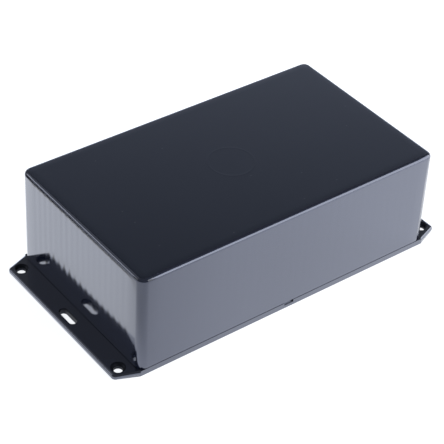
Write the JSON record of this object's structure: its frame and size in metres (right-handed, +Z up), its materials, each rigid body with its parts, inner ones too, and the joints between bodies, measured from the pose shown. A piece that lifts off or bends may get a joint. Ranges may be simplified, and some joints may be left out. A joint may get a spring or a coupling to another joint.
{
  "type": "plastic project box",
  "caption": "Deep black plastic enclosure standing mouth down on a screwed lid whose slotted mounting flanges reach out at both ends.",
  "frame": {"origin": "middle of the lid's underside, which is the face that rests on or bolts to a surface", "axes": "+X along the box's length towards one flange, +Y across its width, +Z up from the lid to the closed face"},
  "size_m": [0.216, 0.11, 0.061],
  "materials": {
    "body_plastic": "black ABS, finely textured closed face, polished walls",
    "lid_plastic": "black ABS, polished",
    "screw_steel": "plain stainless steel",
    "insert_brass": "plain turned brass"
  },
  "bodies": {
    "root": {"box_body": "body_plastic", "flanged_lid": "lid_plastic", "lid_screws": "screw_steel", "threaded_inserts": "insert_brass"}
  },
  "joints": []
}
